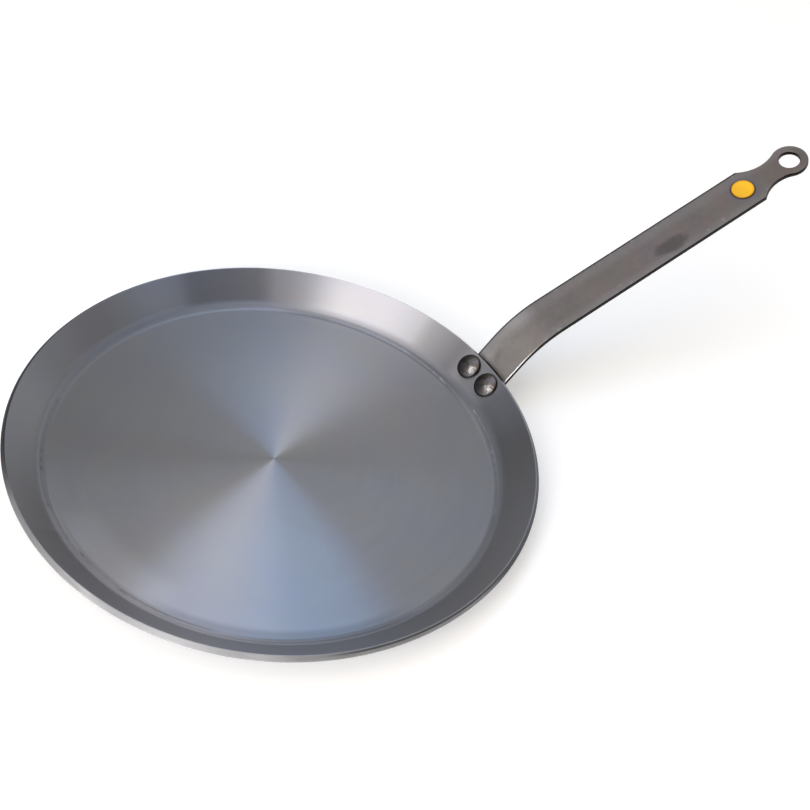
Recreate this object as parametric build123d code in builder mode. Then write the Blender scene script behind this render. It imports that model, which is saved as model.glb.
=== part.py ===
from build123d import *
import os
from math import asin, cos, degrees, radians, sin, sqrt, tan

os.makedirs("parts", exist_ok=True)

# Flat-bottomed crepe pan pressed from one steel sheet, with a bent strap handle on two rivets.
# Millimetres. The origin is the centre of the pan's underside, +X runs along the handle, +Z is up.

# Pan body
rim_radius = 120.0  # outermost edge of the rim
rim_height = 15.9  # from the underside to the rim's inner edge
sheet_thickness = 3.0
wall_slope = 39.0  # degrees from the floor
bend_radius = 5.0  # inside the pan, between floor and wall
rim_outer_round = 0.9
rim_inner_round = 0.5

# Handle strap, followed from its root on the wall to the hanging ring
strap_width = 22.5
strap_thickness = 2.4
root_drop = 14.5  # how far the root reaches down the wall from the rim
root_bend_drop = 1.4  # from the rim's outer edge down the wall to the bend where the strap leaves the wall
root_bend_radius = 14.0  # upper face
reach_slope = 51.0  # degrees from the floor
root_reach = 11.3  # straight stretch that leads on past the rim
handle_bend_radius = 56.0  # upper face
handle_rise = 21.9  # degrees from the floor
run_length = 148.3  # from the end of the bend to the centre of the ring
strap_edge_round = 0.45
root_corner_round = 4.0
root_fill = 1.0  # depth to which the root is shaped by the wall that it lies on

# Neck and hanging ring
ring_radius = 9.3
hang_hole_radius = 5.25
hang_hole_round = 0.4
neck_width = 13.2
neck_distance_left = 12.4  # from the narrowest place of the +Y side to the centre of the ring
neck_distance_right = 11.85
shoulder_round = 1.5

# Rivets
rivet_spacing = 14.2
rivet_drop = 7.6  # from the rim's inner edge down the wall
shank_radius = 3.0
inner_head_radius = 6.1
inner_head_edge = 1.1
inner_head_height = 2.9
inner_head_round = 1.2
outer_head_radius = 4.2
outer_head_edge = 0.5
outer_head_height = 1.9
outer_head_round = 0.5
head_skirt = 0.9  # depth to which a head is shaped by the face that it closes on

# Badge plug
badge_distance = 29.6  # from the centre of the ring
badge_radius = 5.8
badge_height = 0.6
badge_edge_round = 0.4
badge_dish_radius = 4.3
badge_dish_depth = 0.2
badge_hole_radius = 4.2
badge_clearance = 0.1
badge_lip_radius = 4.9
badge_lip_height = 0.9
badge_lip_round = 0.35

cut_overrun = 5.0

# Directions in the handle's upright plane
slope_cos = cos(radians(wall_slope))
slope_sin = sin(radians(wall_slope))
reach_cos = cos(radians(reach_slope))
reach_sin = sin(radians(reach_slope))
rise_cos = cos(radians(handle_rise))
rise_sin = sin(radians(handle_rise))

# Section of the pan
rim_inner_radius = rim_radius - sheet_thickness * slope_sin
corner_radius = rim_inner_radius - (rim_height - sheet_thickness) / tan(radians(wall_slope))
flat_radius = corner_radius - bend_radius * tan(radians(wall_slope / 2))
bend_centre = (flat_radius, sheet_thickness + bend_radius)
outer_bend_radius = bend_radius + sheet_thickness
wall_straight = (rim_height - bend_centre[1] + bend_radius * slope_cos) / slope_sin


def wall_point(down, out):
    """A point down the wall from the rim's inner edge, and out from the wall's inner face."""
    x = rim_inner_radius - down * slope_cos + out * slope_sin
    z = rim_height - down * slope_sin - out * slope_cos
    return (x, z)


# Rivet seats: each axis stands square to the wall and to the strap, and points into the pan
rivet_axis = (-slope_sin, 0, slope_cos)
rivet_sides = {"rivet_left": 1, "rivet_right": -1}
stack_thickness = sheet_thickness + strap_thickness


def rivet_seat(side):
    x, z = wall_point(rivet_drop, 0)
    return (x, side * rivet_spacing / 2, z)


def rivet_plane(side):
    """The plane that a rivet's head lies on inside the pan."""
    return Plane(origin=rivet_seat(side), x_dir=(0, 1, 0), z_dir=rivet_axis)


# Pan as pressed. Its section lies towards -X, so that the seam of the round faces is opposite the handle
with BuildPart() as pressed_pan:
    with BuildSketch(Plane(origin=(0, 0, 0), x_dir=(-1, 0, 0), z_dir=(0, 1, 0))):
        with BuildLine():
            Polyline((0, sheet_thickness), (0, 0), (flat_radius, 0))
            CenterArc(bend_centre, outer_bend_radius, -90, wall_slope)
            Polyline(
                wall_point(wall_straight, sheet_thickness),
                wall_point(0, sheet_thickness),
                wall_point(0, 0),
                wall_point(wall_straight, 0),
            )
            CenterArc(bend_centre, bend_radius, -90, wall_slope)
            Line((flat_radius, sheet_thickness), (0, sheet_thickness))
        make_face()
    revolve(axis=Axis.Z)
    fillet(pressed_pan.edges().filter_by(GeomType.CIRCLE).sort_by(SortBy.RADIUS)[-1], rim_outer_round)
    fillet(pressed_pan.edges().filter_by(GeomType.CIRCLE).sort_by(Axis.Z)[-1], rim_inner_round)

with BuildPart() as pan_body:
    add(pressed_pan.part)
    for side in rivet_sides.values():
        with BuildSketch(rivet_plane(side)):
            Circle(shank_radius)
    extrude(amount=stack_thickness + cut_overrun, both=True, mode=Mode.SUBTRACT)
pan_body.part.label = "pan_body"

# Route of the strap: along the wall, slight bend at the rim, straight reach, bend, straight run
root_bend_turn = reach_slope - wall_slope
root_bend_tangent = root_bend_radius * tan(radians(root_bend_turn / 2))
root_bend_start = root_bend_drop + root_bend_tangent
root_bend_centre = wall_point(root_bend_start, sheet_thickness - root_bend_radius)


def reach_point(along, out):
    """A point along the straight reach from the corner of the root bend, and out from its upper face."""
    x, z = wall_point(root_bend_drop, sheet_thickness)
    return (x + along * reach_cos + out * reach_sin, z + along * reach_sin - out * reach_cos)


handle_bend_centre = reach_point(root_reach, handle_bend_radius)


def run_point(along, lift):
    """A point along the run from the end of the bend, and up from the strap's upper face."""
    x = handle_bend_centre[0] - (handle_bend_radius + lift) * rise_sin + along * rise_cos
    z = handle_bend_centre[1] + (handle_bend_radius + lift) * rise_cos + along * rise_sin
    return (x, z)


def run_plane(along):
    """The strap's upper face at a distance along the run, x along the run and y across it."""
    x, z = run_point(along, 0)
    return Plane(origin=(x, 0, z), x_dir=(rise_cos, 0, rise_sin), z_dir=(-rise_sin, 0, rise_cos))


# Neck arcs: each one touches the ring's circle and leaves the neck at its narrowest place
neck_half = neck_width / 2
neck_sides = {1: neck_distance_left, -1: neck_distance_right}


def neck_arc_radius(distance):
    return (distance**2 + neck_half**2 - ring_radius**2) / (2 * (ring_radius - neck_half))


def shoulder_distance(distance):
    """From the shoulder at the strap's edge, where a neck arc starts, to the centre of the ring."""
    radius = neck_arc_radius(distance)
    return distance + sqrt(radius**2 - (neck_half + radius - strap_width / 2) ** 2)


strap_end = run_length - max(shoulder_distance(distance) for distance in neck_sides.values())

# Strap as bent and laid on the wall
with BuildPart() as bent_strap:
    with BuildSketch(Plane.XZ):
        with BuildLine():
            Polyline(
                wall_point(root_bend_start, stack_thickness),
                wall_point(root_drop, stack_thickness),
                wall_point(root_drop, sheet_thickness - root_fill),
                wall_point(root_bend_start, sheet_thickness - root_fill),
                wall_point(root_bend_start, sheet_thickness),
            )
            CenterArc(root_bend_centre, root_bend_radius, wall_slope - 90, root_bend_turn)
            Line(reach_point(root_bend_tangent, 0), reach_point(root_reach, 0))
            CenterArc(handle_bend_centre, handle_bend_radius, 90 + reach_slope, handle_rise - reach_slope)
            Polyline(
                run_point(0, 0),
                run_point(strap_end, 0),
                run_point(strap_end, -strap_thickness),
                run_point(0, -strap_thickness),
            )
            CenterArc(
                handle_bend_centre,
                handle_bend_radius - strap_thickness,
                90 + reach_slope,
                handle_rise - reach_slope,
            )
            Line(reach_point(root_reach, strap_thickness), reach_point(root_bend_tangent, strap_thickness))
            CenterArc(
                root_bend_centre,
                root_bend_radius + strap_thickness,
                wall_slope - 90,
                root_bend_turn,
            )
        make_face()
    extrude(amount=strap_width / 2, both=True)
    root_end = bent_strap.faces().sort_by(Axis.Z)[0]
    fillet(root_end.edges().filter_by(Axis.Y, reverse=True), root_corner_round)

    # Shoulders, neck and ring, continuing the strap in its own plane
    with BuildSketch(run_plane(run_length)):
        for side, distance in neck_sides.items():
            arc_radius = neck_arc_radius(distance)
            touch_distance = distance * ring_radius / (ring_radius + arc_radius)
            plate_length = shoulder_distance(distance) + distance
            with Locations((-plate_length / 2 - touch_distance, side * strap_width / 4)):
                Rectangle(plate_length, strap_width / 2)
            with Locations((-distance, side * (neck_half + arc_radius))):
                Circle(arc_radius, mode=Mode.SUBTRACT)
        Circle(ring_radius)
    extrude(amount=-strap_thickness)
    run_normal = Axis(run_plane(run_length).origin, run_plane(run_length).z_dir)
    shoulders = bent_strap.edges().filter_by(run_normal).sort_by(Axis.X)[:2]
    fillet(shoulders, shoulder_round)
    outline = bent_strap.edges().filter_by(lambda edge: edge.center().X > rim_radius)
    outline = outline.filter_by(Axis.Y, reverse=True).filter_by(run_normal, reverse=True)
    fillet(outline, strap_edge_round)
    add(pressed_pan.part, mode=Mode.SUBTRACT)

with BuildPart() as handle:
    add(bent_strap.part)
    for side in rivet_sides.values():
        with BuildSketch(rivet_plane(side)):
            Circle(shank_radius)
    extrude(amount=stack_thickness + cut_overrun, both=True, mode=Mode.SUBTRACT)
    with BuildSketch(run_plane(run_length)):
        Circle(hang_hole_radius)
        with Locations((-badge_distance, 0)):
            Circle(badge_hole_radius)
    extrude(amount=strap_thickness + cut_overrun, both=True, mode=Mode.SUBTRACT)
    hang_hole_edges = handle.edges().filter_by(GeomType.CIRCLE).filter_by(
        lambda edge: edge.radius == hang_hole_radius
    )
    fillet(hang_hole_edges, hang_hole_round)
handle.part.label = "handle"

# Rivets: each head is closed down on the face under it, and the shank fills both holes
inner_head_rise = inner_head_height - inner_head_edge
inner_head_sphere = (inner_head_radius**2 + inner_head_rise**2) / (2 * inner_head_rise)
inner_head_turn = degrees(asin(inner_head_radius / inner_head_sphere))
outer_head_rise = outer_head_height - outer_head_edge
outer_head_sphere = (outer_head_radius**2 + outer_head_rise**2) / (2 * outer_head_rise)
outer_head_turn = degrees(asin(outer_head_radius / outer_head_sphere))
rivets = []
for name, side in rivet_sides.items():
    with BuildPart() as rivet:
        with BuildSketch(Plane(origin=rivet_seat(side), x_dir=(0, 1, 0), z_dir=(slope_cos, 0, slope_sin))):
            with BuildLine():
                Polyline(
                    (0, inner_head_height),
                    (0, -head_skirt),
                    (inner_head_radius, -head_skirt),
                    (inner_head_radius, inner_head_edge),
                )
                CenterArc(
                    (0, inner_head_height - inner_head_sphere),
                    inner_head_sphere,
                    90 - inner_head_turn,
                    inner_head_turn,
                )
            make_face()
            with BuildLine():
                Polyline(
                    (0, -stack_thickness - outer_head_height),
                    (0, head_skirt - stack_thickness),
                    (outer_head_radius, head_skirt - stack_thickness),
                    (outer_head_radius, -stack_thickness - outer_head_edge),
                )
                CenterArc(
                    (0, outer_head_sphere - stack_thickness - outer_head_height),
                    outer_head_sphere,
                    -90,
                    outer_head_turn,
                )
            make_face()
        revolve(axis=Axis(rivet_seat(side), rivet_axis))
        head_edges = rivet.edges().filter_by(GeomType.CIRCLE).filter_by(rivet_plane(side))
        head_edges = head_edges.sort_by(Axis(rivet_seat(side), rivet_axis))
        fillet(head_edges[-1], inner_head_round)
        fillet(head_edges[0], outer_head_round)
        add([pressed_pan.part, bent_strap.part], mode=Mode.SUBTRACT)
        with BuildSketch(rivet_plane(side).offset(inner_head_edge)):
            Circle(shank_radius)
        extrude(amount=-inner_head_edge - stack_thickness - outer_head_edge)
    rivet.part.label = name
    rivets.append(rivet.part)

# Badge plug: a face with a shallow dish, a stem through the strap and a lip that holds it behind
badge_place = run_plane(run_length - badge_distance)
badge_axis = Axis(badge_place.origin, badge_place.z_dir)
badge_dish_sphere = (badge_dish_radius**2 + badge_dish_depth**2) / (2 * badge_dish_depth)
badge_dish_turn = degrees(asin(badge_dish_radius / badge_dish_sphere))
with BuildPart() as handle_badge:
    with BuildSketch(Plane(origin=badge_place.origin, x_dir=(0, 1, 0), z_dir=badge_place.x_dir)):
        with BuildLine():
            Polyline(
                (badge_dish_radius, badge_height),
                (badge_radius, badge_height),
                (badge_radius, 0),
                (badge_hole_radius - badge_clearance, 0),
                (badge_hole_radius - badge_clearance, -strap_thickness),
                (badge_lip_radius, -strap_thickness),
                (badge_lip_radius, -strap_thickness - badge_lip_height),
                (0, -strap_thickness - badge_lip_height),
                (0, badge_height - badge_dish_depth),
            )
            CenterArc(
                (0, badge_height - badge_dish_depth + badge_dish_sphere),
                badge_dish_sphere,
                -90,
                badge_dish_turn,
            )
        make_face()
    revolve(axis=badge_axis)
    badge_levels = handle_badge.edges().filter_by(GeomType.CIRCLE).group_by(badge_axis)
    fillet(badge_levels[-1].sort_by(SortBy.RADIUS)[-1], badge_edge_round)
    fillet(badge_levels[0].sort_by(SortBy.RADIUS)[-1], badge_lip_round)
handle_badge.part.label = "handle_badge"

for piece in [pan_body.part, handle.part, *rivets, handle_badge.part]:
    export_step(piece, f"parts/{piece.label}.step")
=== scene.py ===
from math import cos, pi, radians, sin

import bpy
from mathutils import Matrix, Vector

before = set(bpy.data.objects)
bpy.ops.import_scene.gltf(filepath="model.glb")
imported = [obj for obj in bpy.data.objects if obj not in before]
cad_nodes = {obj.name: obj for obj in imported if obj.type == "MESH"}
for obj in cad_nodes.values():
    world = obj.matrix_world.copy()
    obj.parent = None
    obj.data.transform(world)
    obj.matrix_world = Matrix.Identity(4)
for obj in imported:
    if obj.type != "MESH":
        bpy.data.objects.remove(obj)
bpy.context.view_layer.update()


def direction(azimuth, height=0):
    """The way to an azimuth from +X, seen from above, and a height over the horizon, in degrees."""
    azimuth, height = radians(azimuth), radians(height)
    return Vector((cos(height) * cos(azimuth), cos(height) * sin(azimuth), sin(height)))


def slope_ways(slope):
    """The ways up a slope along +X and square to it, for a slope in degrees."""
    slope = radians(slope)
    return (cos(slope), 0, sin(slope)), (-sin(slope), 0, cos(slope))


def grey(level):
    return (level, level, level)


# Places on the object that the materials follow, in metres, as in the solids
wall_up, wall_inward = slope_ways(39)
wall_outward = tuple(-part for part in wall_inward)
wall_length = 0.101796  # from the origin to the cut edge, along the wall's slope
wall_depth = 0.06197  # from the origin to the wall's inner face, square to the slope
along_reach, reach_normal = slope_ways(51)
along_run, run_normal = slope_ways(21.9)
bend_place = (0.16954, 0, -0.01377)
badge_place = (0.25879, 0, 0.08246)
rivet_place = (0.112206, 0.0071, 0.011117)
stain_place = (0.2143, -0.0047, 0.0646)
stain_half_length = 0.0105
stain_half_width = 0.0042

# Painted highlights and painted shade on stretches of the pan: the azimuth they face, the cosines
# from it where they
#  start and are full, the radii where they start, are full, fade and end, and the change
pan_painted_light_stretches = [
    (-118, (0.80, 0.93), (0.0950, 0.0985, 0.1034, 0.1046), -0.24),
    (-165, (0.92, 0.985), (0.0800, 0.0920, 0.0985, 0.1000), 0.20),
    (-160, (0.75, 0.93), (0.1002, 0.1009, 0.1011, 0.1018), 0.35),
    (-125, (0.40, 0.80), (0.1011, 0.1017, 0.1021, 0.1029), 0.22),
    (28, (0.82, 0.96), (0.0988, 0.1004, 0.1024, 0.1036), -0.38),
    (120, (0.10, 0.60), (0.1012, 0.1024, 0.1038, 0.1052), 0.28),
    (-40, (0.60, 0.85), (0.1012, 0.1024, 0.1038, 0.1054), 0.20),
    (106, (0.92, 0.985), (0.1036, 0.1056, 0.1300, 0.1310), 0.22),
    (73, (0.973, 0.992), (0.1040, 0.1060, 0.1300, 0.1310), -0.30),
    (0, (0.988, 0.998), (0.1040, 0.1060, 0.1300, 0.1310), 0.26),
    (13, (0.988, 0.998), (0.1040, 0.1060, 0.1300, 0.1310), -0.20),
]


class Nodes:
    """Short calls that add nodes to a tree, with numbers, vectors or other nodes' outputs."""

    def __init__(self, tree):
        self.tree = tree

    def node(self, kind, attributes=None, **inputs):
        made = self.tree.nodes.new(kind)
        for name, value in (attributes or {}).items():
            setattr(made, name, value)
        for name, value in inputs.items():
            self.put(made.inputs[name.replace("_", " ")], value)
        return made

    def put(self, socket, value):
        if isinstance(value, bpy.types.NodeSocket):
            self.tree.links.new(value, socket)
        else:
            socket.default_value = value

    def math(self, operation, *values):
        made = self.node("ShaderNodeMath", {"operation": operation})
        for socket, value in zip(made.inputs, values):
            self.put(socket, value)
        return made.outputs[0]

    def vector(self, operation, *values):
        made = self.node("ShaderNodeVectorMath", {"operation": operation})
        for socket, value in zip([socket for socket in made.inputs if socket.enabled], values):
            self.put(socket, value)
        return made.outputs["Value" if operation in ("LENGTH", "DOT_PRODUCT") else "Vector"]

    def product(self, result, *factors):
        for factor in factors:
            result = self.math("MULTIPLY", result, factor)
        return result

    def distance(self, place, point):
        return self.vector("LENGTH", self.vector("SUBTRACT", place, point))

    def flattened(self, offset, normal):
        """The part of an offset that is square to a normal."""
        rise = self.vector("DOT_PRODUCT", offset, normal)
        return self.vector("SUBTRACT", offset, self.vector("SCALE", normal, rise))

    def combine(self, x, y, z):
        return self.node("ShaderNodeCombineXYZ", X=x, Y=y, Z=z).outputs[0]

    def ramp(self, value, low, high, to_low=0.0, to_high=1.0):
        """value's step from low to high, smoothed, as a step from to_low to to_high."""
        made = self.node("ShaderNodeMapRange", {"interpolation_type": "SMOOTHSTEP"}, Value=value)
        limits = {"From Min": low, "From Max": high, "To Min": to_low, "To Max": to_high}
        for name, limit in limits.items():
            made.inputs[name].default_value = limit
        return made.outputs["Result"]

    def noise(self, at, scale, **settings):
        settings = {"Detail": 2.0, "Roughness": 0.5, "Distortion": 0.0, **settings}
        return self.node("ShaderNodeTexNoise", Vector=at, Scale=scale, **settings).outputs["Fac"]

    def swing(self, noise, size):
        """A noise's swing about its middle, as a swing of this size about zero."""
        return self.product(self.math("ADD", noise, -0.5), size)

    def mix(self, share, first, second, blend="MIX"):
        """The second colour over the first, by share."""
        made = self.node("ShaderNodeMix", {"data_type": "RGBA", "blend_type": blend})
        self.put(made.inputs[0], share)
        self.put(made.inputs[6], (*first, 1) if isinstance(first, tuple) else first)
        self.put(made.inputs[7], (*second, 1) if isinstance(second, tuple) else second)
        return made.outputs[2]


class Shader(Nodes):
    """A node material with one principled shader."""

    def __init__(self, name, **settings):
        self.material = bpy.data.materials.new(name)
        self.material.use_nodes = True
        super().__init__(self.material.node_tree)
        self.tree.nodes.clear()
        self.surface = self.node("ShaderNodeBsdfPrincipled", **settings)
        self.node("ShaderNodeOutputMaterial", Surface=self.surface.outputs[0])
        self.place = self.node("ShaderNodeTexCoord").outputs["Object"]
        self.x, self.y, self.z = self.node("ShaderNodeSeparateXYZ", Vector=self.place).outputs

    def finish(self, colour, roughness, bumps=()):
        """Sets the colour, the roughness and the bumps, each as (height, depth in metres)."""
        self.put(self.surface.inputs["Base Color"], colour)
        self.put(self.surface.inputs["Roughness"], roughness)
        normal = None
        for height, depth in bumps:
            made = self.node("ShaderNodeBump", Height=height, Distance=depth)
            if normal:
                self.put(made.inputs["Normal"], normal)
            normal = made.outputs[0]
        if normal:
            self.put(self.surface.inputs["Normal"], normal)
        return self.material


def pan_steel():
    """Bare sheet steel, turned: the grooves run in circles about the pan's axis."""
    plain, blue, lilac = (0.322, 0.316, 0.325), (0.315, 0.310, 0.336), (0.334, 0.317, 0.325)
    edge_dull, edge_bright = (0.55, 0.55, 0.56), (0.63, 0.63, 0.645)
    painted_edge_shade = (0.20, 0.20, 0.205)

    s = Shader("turned_steel", Metallic=1.0, Anisotropic=0.95)
    level = s.vector("MULTIPLY", s.place, (1, 1, 0))
    radius = s.vector("LENGTH", level)
    outward = s.vector("NORMALIZE", level)
    s.put(s.surface.inputs["Tangent"], outward)

    def facing(azimuth, low, high):
        """A step between two cosines of the angle from the way outward to an azimuth."""
        return s.ramp(s.vector("DOT_PRODUCT", outward, direction(azimuth)), low, high)

    # Circles of finer and coarser grooves, followed up the wall as well
    rings = s.combine(0.0, 0.0, s.math("ADD", radius, s.z))
    rings = s.vector("ADD", s.vector("SCALE", outward, 0.006), rings)
    fine = s.noise(rings, 2600, Detail=3)
    coarse = s.noise(rings, 380)
    # Faint lilac and blue patches
    tint = s.noise(s.place, 38, Distortion=0.4)
    patches = s.noise(s.place, 22, Detail=3, Roughness=0.55)
    colour = s.mix(s.ramp(tint, 0.35, 0.65), plain, blue)
    colour = s.mix(s.ramp(patches, 0.45, 0.7, 0, 0.5), colour, lilac)
    colour = s.mix(0.4, colour, s.mix(fine, grey(0.45), grey(0.55)), "OVERLAY")
    # Painted shade: the floor is a little darker towards the wall and on one side
    on_floor = s.ramp(radius, 0.104, 0.101)
    towards_wall = s.product(s.ramp(radius, 0.045, 0.098), on_floor, 0.09)
    to_side = s.ramp(s.vector("DOT_PRODUCT", s.place, direction(130)), 0.0, 0.06)
    floor_painted_shade = s.math("ADD", towards_wall, s.product(to_side, on_floor, 0.11))
    colour = s.mix(floor_painted_shade, colour, grey(0.0))
    # Painted highlights and painted shade on the stretches listed above
    painted_light_tone = 1.0
    for azimuth, cosines, (start, full, fade, end), change in pan_painted_light_stretches:
        band = s.product(s.ramp(radius, start, full), s.ramp(radius, fade, end, 1, 0))
        painted_light_tone = s.math("ADD", painted_light_tone, s.product(facing(azimuth, *cosines), band, change))
    colour = s.vector("SCALE", colour, painted_light_tone)
    # The foot of the wall is duller than the rest
    roughness = s.math("ADD", 0.30, s.swing(coarse, 0.05))
    foot = s.product(s.ramp(radius, 0.1008, 0.1026), s.ramp(radius, 0.1065, 0.1036))
    roughness = s.math("ADD", roughness, s.product(foot, 0.25))

    # Cut edge of the sheet, dull, with scratches along it
    section = s.combine(radius, 0.0, s.z)
    cut = s.vector("DOT_PRODUCT", section, wall_up)
    cut = s.ramp(cut, wall_length - 0.0005, wall_length - 0.0002)
    through_wall = s.vector("DOT_PRODUCT", section, wall_outward)
    scratches = s.combine(0.0, 0.0, through_wall)
    scratches = s.noise(s.vector("ADD", s.vector("SCALE", outward, 0.010), scratches), 1100)
    edge = s.mix(s.ramp(scratches, 0.35, 0.65), edge_dull, edge_bright)
    # Painted shade on two sides of it, and on a third a painted dark strip with its corners left
    # bright as painted highlights
    for side, shade in ((-141, 0.945, 0.988), 0.39), ((130, 0.68, 0.90), 0.115):
        edge = s.mix(facing(*side), edge, (shade, shade, shade * 1.04))
    depth = s.math("SUBTRACT", through_wall, wall_depth)
    painted_highlight_corner = s.product(facing(-100, 0.80, 0.92), s.ramp(depth, 0.0010, 0.0014))
    painted_shade_strip = s.product(facing(-45, 0.38, 0.55), s.ramp(depth, 0.0002, 0.0005))
    painted_shade_strip = s.product(painted_shade_strip, s.math("SUBTRACT", 1.0, painted_highlight_corner), 0.95)
    edge = s.mix(painted_shade_strip, edge, painted_edge_shade)
    # Painted shadow where the edge meets the handle
    beside = s.math("ABSOLUTE", s.y)
    painted_joint_shadow = s.product(s.ramp(beside, 0.0120, 0.0110), s.ramp(s.x, 0.05, 0.06))
    edge = s.mix(painted_joint_shadow, edge, grey(0.06))
    roughness = s.math("ADD", roughness, s.product(cut, 0.40))
    return s.finish(s.mix(cut, colour, edge), roughness)


def handle_steel():
    """Rolled strip with dark cut sides, mottled in warm, olive and mauve greys."""
    plain, olive = (0.164, 0.134, 0.114), (0.154, 0.133, 0.108)
    warm, mauve = (0.172, 0.130, 0.110), (0.158, 0.124, 0.116)
    edge_light, scuff_light = (0.205, 0.178, 0.158), (0.400, 0.380, 0.360)
    root_painted_light, root_side_painted_light = (0.345, 0.318, 0.306), (0.440, 0.425, 0.420)
    heat_tint, badge_painted_shade = (0.130, 0.116, 0.150), (0.026, 0.020, 0.014)
    stain_dark, dark_sides_and_painted_shade = (0.055, 0.050, 0.045), (0.010, 0.009, 0.008)
    bright_painted_highlight = (0.75, 0.74, 0.73)

    s = Shader("strip_steel", Metallic=1.0)
    off_middle = s.math("ABSOLUTE", s.y)
    mottle = s.noise(s.place, 75, Detail=4, Roughness=0.55, Distortion=0.6)
    warmer = s.vector("ADD", s.place, (0.3, 0.1, 0.0))
    warmer = s.noise(warmer, 48, Detail=3, Distortion=0.3)
    redder = s.vector("ADD", s.place, (0.0, 0.5, 0.2))
    redder = s.noise(redder, 55, Detail=3, Distortion=0.3)
    colour = s.mix(s.ramp(mottle, 0.38, 0.62), plain, olive)
    colour = s.mix(s.ramp(warmer, 0.46, 0.64, 0, 0.8), colour, warm)
    colour = s.mix(s.ramp(redder, 0.48, 0.66, 0, 0.7), colour, mauve)
    # Lighter towards both long edges
    edges = s.math("ABSOLUTE", s.math("ADD", s.y, 0.0015))
    colour = s.mix(s.ramp(edges, 0.0040, 0.0090, 0, 0.6), colour, edge_light)
    # Painted reflection: lighter near the root, more so on one side
    near_root = s.ramp(s.x, 0.148, 0.126)
    colour = s.mix(near_root, colour, root_painted_light)
    root_side = s.product(near_root, s.ramp(s.y, 0.0005, 0.0080))
    colour = s.mix(root_side, colour, root_side_painted_light)
    # Clouds, scuffs and grain
    cloud = s.noise(s.place, 330, Detail=3, Roughness=0.6)
    colour = s.mix(0.5, colour, s.mix(cloud, (0.40, 0.395, 0.39), grey(0.60)), "OVERLAY")
    scuffs = s.product(s.ramp(cloud, 0.60, 0.72), s.ramp(off_middle, 0.0065, 0.0100, 0, 0.4))
    colour = s.mix(scuffs, colour, scuff_light)
    grain = s.noise(s.place, 1700, Detail=3, Roughness=0.65)
    colour = s.mix(0.5, colour, s.mix(grain, grey(0.36), grey(0.64)), "OVERLAY")
    # Heat tint round the badge, and painted shade in a dark ring beside it
    from_badge = s.distance(s.place, badge_place)
    colour = s.mix(s.ramp(from_badge, 0.0105, 0.006, 0, 0.35), colour, heat_tint)
    colour = s.mix(s.ramp(from_badge, 0.0066, 0.0060, 0, 0.85), colour, badge_painted_shade)
    # Dark stain beside the middle line of the run, with a ragged edge
    offset = s.vector("SUBTRACT", s.place, stain_place)
    offset = s.combine(
        s.math("DIVIDE", s.vector("DOT_PRODUCT", offset, along_run), stain_half_length),
        s.math("DIVIDE", s.vector("DOT_PRODUCT", offset, (0, 1, 0)), stain_half_width),
        0.0,
    )
    ragged = s.swing(s.noise(s.place, 190, Detail=3, Roughness=0.6), 0.9)
    stain = s.math("ADD", s.vector("LENGTH", offset), ragged)
    colour = s.mix(s.ramp(stain, 1.25, 0.55, 0, 0.55), colour, stain_dark)
    # Dark: the cut sides; painted shade on the ring's and the hole's walls and in a line along one
    # edge, and a painted shadow at the root
    normal = s.node("ShaderNodeNewGeometry").outputs["Normal"]
    side = s.math("ABSOLUTE", s.vector("DOT_PRODUCT", normal, (0, 1, 0)))
    across = s.math("ABSOLUTE", s.vector("DOT_PRODUCT", normal, run_normal))
    ring = s.product(s.ramp(across, 0.95, 0.6), s.ramp(s.x, 0.264, 0.268))
    edge_line = s.product(s.ramp(s.y, 0.0099, 0.0106), 0.8)
    from_axis = s.vector("LENGTH", s.vector("MULTIPLY", s.place, (1, 1, 0)))
    root = s.ramp(from_axis, 0.1203, 0.1199)
    dark = s.ramp(side, 0.3, 0.75)
    for part in (ring, edge_line, root):
        dark = s.math("MAXIMUM", dark, part)
    colour = s.mix(dark, colour, dark_sides_and_painted_shade)
    # Painted highlight in a strip along the other edge, near the root
    from_bend = s.vector("SUBTRACT", s.place, bend_place)
    past = s.math("MAXIMUM", s.vector("DOT_PRODUCT", from_bend, along_reach), 0.0)
    out = s.vector("DOT_PRODUCT", from_bend, reach_normal)
    out = s.vector("LENGTH", s.combine(past, out, 0.0))
    painted_highlight_area = s.product(s.ramp(side, 0.25, 0.45), s.ramp(out, 0.0555, 0.0558))
    painted_highlight_area = s.product(painted_highlight_area, s.ramp(s.x, 0.137, 0.127), s.ramp(s.y, -0.0098, -0.0108))
    colour = s.mix(painted_highlight_area, colour, bright_painted_highlight)
    roughness = s.math("ADD", 0.42, s.swing(mottle, 0.25))
    return s.finish(colour, roughness, [(grain, 0.00002)])


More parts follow.
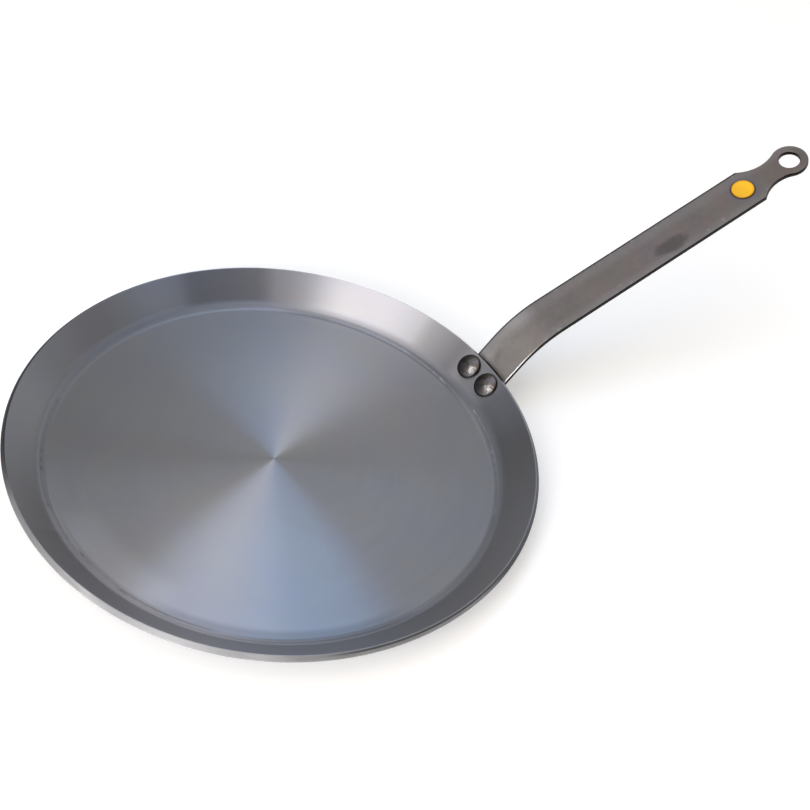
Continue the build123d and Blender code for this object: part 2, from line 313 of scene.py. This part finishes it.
def rivet_steel():
    """Dark pressed heads with the marks of the closing tool."""
    dark, light = (0.070, 0.066, 0.066), (0.160, 0.148, 0.144)
    dark_sides_and_painted_shade, lower_painted_shade = (0.030, 0.028, 0.028), (0.052, 0.047, 0.048)
    upper_painted_shade, bright_painted_highlight = (0.125, 0.100, 0.085), (0.400, 0.390, 0.390)
    painted_highlight_offset = (0.0001, -0.0032, -0.0002)

    s = Shader("hammered_steel", Metallic=1.0)
    blotches = s.noise(s.place, 320, Detail=4, Roughness=0.65)
    colour = s.mix(s.ramp(blotches, 0.38, 0.66), dark, light)
    # Offset from the nearer head's own axis, on the wall
    y = s.math("SUBTRACT", s.y, s.product(s.math("SIGN", s.y), rivet_place[1]))
    from_seat = s.vector("SUBTRACT", s.combine(s.x, y, s.z), (rivet_place[0], 0, rivet_place[2]))
    from_seat = s.flattened(from_seat, wall_inward)
    upward = s.vector("DOT_PRODUCT", from_seat, wall_up)
    # Painted shade on one side of each head, on its upper side and on its lower side
    colour = s.mix(s.ramp(y, 0.0005, 0.0050, 0, 0.7), colour, dark_sides_and_painted_shade)
    colour = s.mix(s.ramp(upward, 0.0005, 0.0040, 0, 0.8), colour, upper_painted_shade)
    colour = s.mix(s.ramp(upward, -0.0008, -0.0035, 0, 0.7), colour, lower_painted_shade)
    # Painted highlight beside the crown, in specks, and painted shade at the foot
    specks = s.swing(s.noise(s.place, 1000, Detail=3, Roughness=0.6), 0.008)
    painted_highlight_area = s.math("ADD", s.distance(from_seat, painted_highlight_offset), specks)
    colour = s.mix(s.ramp(painted_highlight_area, 0.0020, 0.0006, 0, 0.85), colour, bright_painted_highlight)
    foot = s.ramp(s.vector("LENGTH", from_seat), 0.0050, 0.0059, 0, 0.85)
    colour = s.mix(foot, colour, grey(0.02))
    hammered = s.noise(s.place, 420)
    pits = s.noise(s.place, 1400, Detail=3, Roughness=0.6)
    return s.finish(colour, 0.36, [(hammered, 0.00014), (pits, 0.00005)])


def badge_silicone():
    """Smooth yellow plug, deeper in colour towards its edge."""
    low_yellow, high_yellow = (0.73, 0.375, 0.003), (0.77, 0.42, 0.005)
    mottle_yellow, edge_yellow = (0.74, 0.385, 0.003), (0.62, 0.30, 0.003)
    rim_brown_and_painted_shade = (0.12, 0.05, 0.003)

    s = Shader("yellow_silicone", Specular_IOR_Level=0.2, Coat_Weight=0.15, Coat_Roughness=0.15)
    offset = s.flattened(s.vector("SUBTRACT", s.place, badge_place), run_normal)
    along = s.vector("DOT_PRODUCT", offset, along_run)
    from_axis = s.vector("LENGTH", offset)
    mottle = s.noise(s.place, 900)
    colour = s.mix(s.ramp(along, -0.0045, 0.0035), low_yellow, high_yellow)
    colour = s.mix(s.ramp(mottle, 0.35, 0.65, 0, 0.3), colour, mottle_yellow)
    colour = s.mix(s.ramp(from_axis, 0.0046, 0.0054), colour, edge_yellow)
    # A brown rim that is partly painted shade
    colour = s.mix(s.ramp(from_axis, 0.0053, 0.0058, 0, 0.9), colour, rim_brown_and_painted_shade)
    return s.finish(colour, 0.32)


def floor_white():
    """Pale floor, white to the eye, with the shadow left in it."""
    s = Shader("floor_white")
    ray = s.node("ShaderNodeLightPath").outputs
    seen = s.math("MAXIMUM", ray["Is Camera Ray"], ray["Is Glossy Ray"])
    seen = s.math("MAXIMUM", seen, ray["Is Transmission Ray"])
    s.put(s.surface.inputs["Emission Color"], (1, 1, 1, 1))
    s.put(s.surface.inputs["Emission Strength"], s.product(seen, 0.36))
    return s.finish(s.mix(s.noise(s.place, 3), grey(0.75), grey(0.76)), 0.9)


materials = {
    "pan_body": pan_steel(),
    "handle": handle_steel(),
    "rivet_left": rivet_steel(),
    "handle_badge": badge_silicone(),
}
materials["rivet_right"] = materials["rivet_left"]
for name, material in materials.items():
    for slot in cad_nodes[name].material_slots:
        slot.material = material

# Floor, larger than any view of it
floor_size = 24
bpy.ops.mesh.primitive_plane_add(size=floor_size)
floor = bpy.context.object
floor.name = "floor"
floor.data.materials.append(floor_white())

# Camera, at the photograph's angle: where it stands, in degrees and metres, and how it is turned
camera_distance = 0.71382
camera_elevation = 46.505
camera_azimuth = -35.424
aim_height = 0.003
yaw, pitch, roll = -4.443, 2.579, -7.803
sensor_width, lens_length = 36, 69.935
camera = bpy.data.objects.new("camera", bpy.data.cameras.new("camera"))
bpy.context.scene.collection.objects.link(camera)
camera.data.sensor_width = sensor_width
camera.data.lens = lens_length
camera.data.clip_start, camera.data.clip_end = 0.01, 100
turn = Matrix.Rotation(radians(camera_azimuth), 4, "Z")
elevation = radians(camera_elevation)
back = turn @ Vector((0, -cos(elevation), sin(elevation)))
looking = turn @ Matrix.Rotation(radians(90 - camera_elevation), 4, "X")
for angle, axis in ((yaw, "Y"), (pitch, "X"), (-roll, "Z")):
    looking = looking @ Matrix.Rotation(radians(angle), 4, axis)
stand = Matrix.Translation(back * camera_distance + Vector((0, 0, aim_height)))
camera.matrix_world = stand @ looking
bpy.context.scene.camera = camera

# Studio: white all round at the horizon, a broad soft light overhead and a few large soft glows
# between, each as azimuth, height, colour
horizon = (1.055, 1.068, 1.080)
horizon_fall = 0.18
overhead = (0.65, 0.53, 0.40)
overhead_edge = 0.6
glow_tightness = 14
glows = [
    (-157, 4, (8.20, 8.20, 8.00)),
    (-176, 55, (2.71, 2.65, 2.62)),
    (60, 55, (0.60, 0.66, 0.69)),
    (9, 26, (0.44, 0.46, 0.46)),
]
world = bpy.data.worlds.new("studio")
bpy.context.scene.world = world
world.use_nodes = True
sky = Nodes(world.node_tree)
toward = sky.node("ShaderNodeTexCoord").outputs["Generated"]
height_share = sky.math("MAXIMUM", sky.vector("DOT_PRODUCT", toward, (0, 0, 1)), 0.0)
fall = sky.math("EXPONENT", sky.math("DIVIDE", height_share, -horizon_fall))
light = sky.vector("SCALE", horizon, fall)
above = sky.math("MAXIMUM", sky.math("SUBTRACT", height_share, overhead_edge), 0.0)
above = sky.math("DIVIDE", above, 1 - overhead_edge)
light = sky.vector("ADD", light, sky.vector("SCALE", overhead, above))
for azimuth, height, colour in glows:
    near = sky.vector("DOT_PRODUCT", toward, direction(azimuth, height))
    near = sky.math("MULTIPLY_ADD", near, glow_tightness, -glow_tightness)
    light = sky.vector("ADD", light, sky.vector("SCALE", colour, sky.math("EXPONENT", near)))
sky.put(sky.tree.nodes["Background"].inputs["Color"], light)

# Round lamps, one beside the camera and four above the far side of the pan: azimuth, height, colour
lamp_distance = 0.6
lamp_width = 0.2
lamps = [
    (-145, 34, (7.30, 7.05, 6.95)),
    (71, 70, (1.47, 1.95, 2.88)),
    (32, 70, (0.72, 1.66, 3.00)),
    (33, 52, (0.27, 0.38, 0.57)),
    (98, 52, (0.40, 0.51, 0.68)),
]
for number, (azimuth, height, colour) in enumerate(lamps, 1):
    lamp = bpy.data.objects.new(f"lamp_{number}", bpy.data.lights.new(f"lamp_{number}", "AREA"))
    bpy.context.scene.collection.objects.link(lamp)
    lamp.data.shape = "DISK"
    lamp.data.size = lamp_width
    brightest = max(colour)
    lamp.data.color = [channel / brightest for channel in colour]
    lamp.data.energy = brightest * (pi * lamp_width / 2) ** 2
    lamp.location = direction(azimuth, height) * lamp_distance
    lamp.rotation_euler = direction(azimuth, height).to_track_quat("Z", "Y").to_euler()
    lamp.visible_camera = False

bpy.context.scene.view_settings.view_transform = "Standard"
